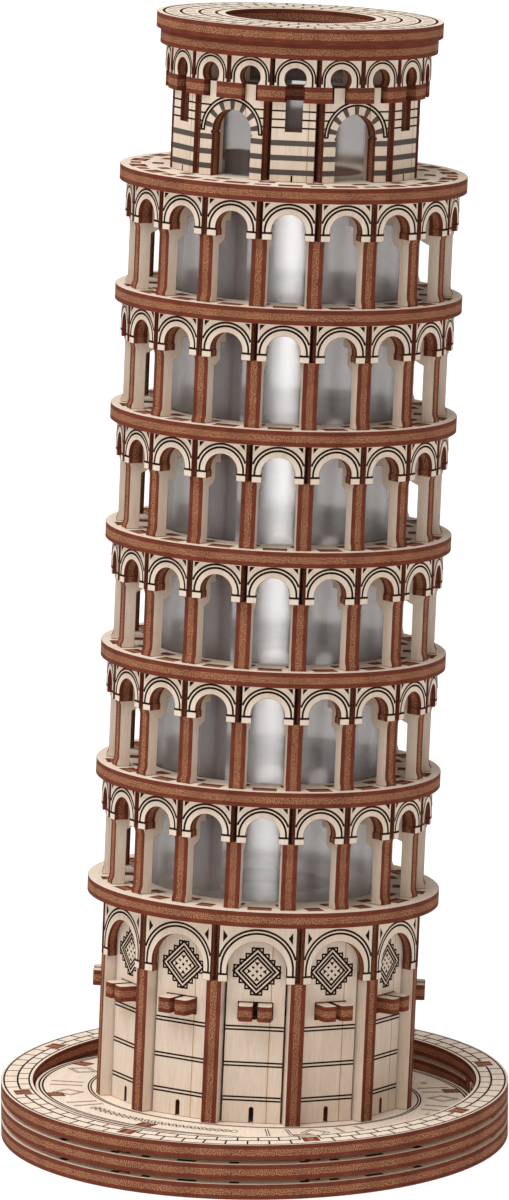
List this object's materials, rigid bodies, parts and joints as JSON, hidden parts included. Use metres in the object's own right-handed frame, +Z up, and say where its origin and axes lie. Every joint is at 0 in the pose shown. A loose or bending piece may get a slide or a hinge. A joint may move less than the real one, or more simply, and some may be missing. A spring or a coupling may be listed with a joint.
{
  "type": "leaning tower kit model",
  "caption": "Laser-cut plywood model of a leaning bell tower: six arcaded galleries, drum belfry, frosted light tube and stepped round base.",
  "frame": {"origin": "centre of the base's underside", "axes": "+Z up, -Y towards the front bay, lean towards +X and +Y"},
  "size_m": [0.1332, 0.1332, 0.2962],
  "materials": {
    "plywood_face": "pale sanded birch veneer with dark laser-engraved lines",
    "plywood_edge": "laser-browned three-ply cut edge",
    "frosted_film": "frosted translucent film"
  },
  "bodies": {
    "root": {"base_bottom_ring": "plywood_face", "base_middle_ring": "plywood_face", "base_rib_1": "plywood_edge", "base_rib_2": "plywood_edge", "base_rib_3": "plywood_edge", "base_rib_4": "plywood_edge", "base_rib_5": "plywood_edge", "base_rib_6": "plywood_edge", "base_rib_7": "plywood_edge", "base_rib_8": "plywood_edge", "base_top_ring": "plywood_face", "battlement_ring": "plywood_edge", "belfry_arcade": "plywood_face", "belfry_door_wall_1": "plywood_face", "belfry_door_wall_2": "plywood_face", "belfry_door_wall_3": "plywood_face", "belfry_door_wall_4": "plywood_face", "belfry_door_wall_5": "plywood_face", "belfry_door_wall_6": "plywood_face", "belfry_slit_wall_1": "plywood_face", "belfry_slit_wall_2": "plywood_face", "belfry_slit_wall_3": "plywood_face", "belfry_slit_wall_4": "plywood_face", "belfry_slit_wall_5": "plywood_face", "belfry_slit_wall_6": "plywood_face", "belfry_tube": "frosted_film", "bracket_ring": "plywood_edge", "core_post": "plywood_edge", "cornice_ring_1": "plywood_face", "cornice_ring_2": "plywood_face", "cornice_ring_3": "plywood_face", "cornice_ring_4": "plywood_face", "cornice_ring_5": "plywood_face", "cornice_ring_6": "plywood_face", "cornice_ring_7": "plywood_face", "gallery_arcade_1": "plywood_face", "gallery_arcade_2": "plywood_face", "gallery_arcade_3": "plywood_face", "gallery_arcade_4": "plywood_face", "gallery_arcade_5": "plywood_face", "gallery_arcade_6": "plywood_face", "ground_arcade": "plywood_face", "ground_wall_panel_01": "plywood_face", "ground_wall_panel_02": "plywood_face", "ground_wall_panel_03": "plywood_face", "ground_wall_panel_04": "plywood_face", "ground_wall_panel_05": "plywood_face", "ground_wall_panel_06": "plywood_face", "ground_wall_panel_07": "plywood_face", "ground_wall_panel_08": "plywood_face", "ground_wall_panel_09": "plywood_face", "ground_wall_panel_10": "plywood_face", "ground_wall_panel_11": "plywood_face", "ground_wall_panel_12": "plywood_face", "light_tube": "frosted_film", "plaza_disc": "plywood_face", "roof_lower_ring": "plywood_edge", "roof_upper_ring": "plywood_face"}
  },
  "joints": []
}
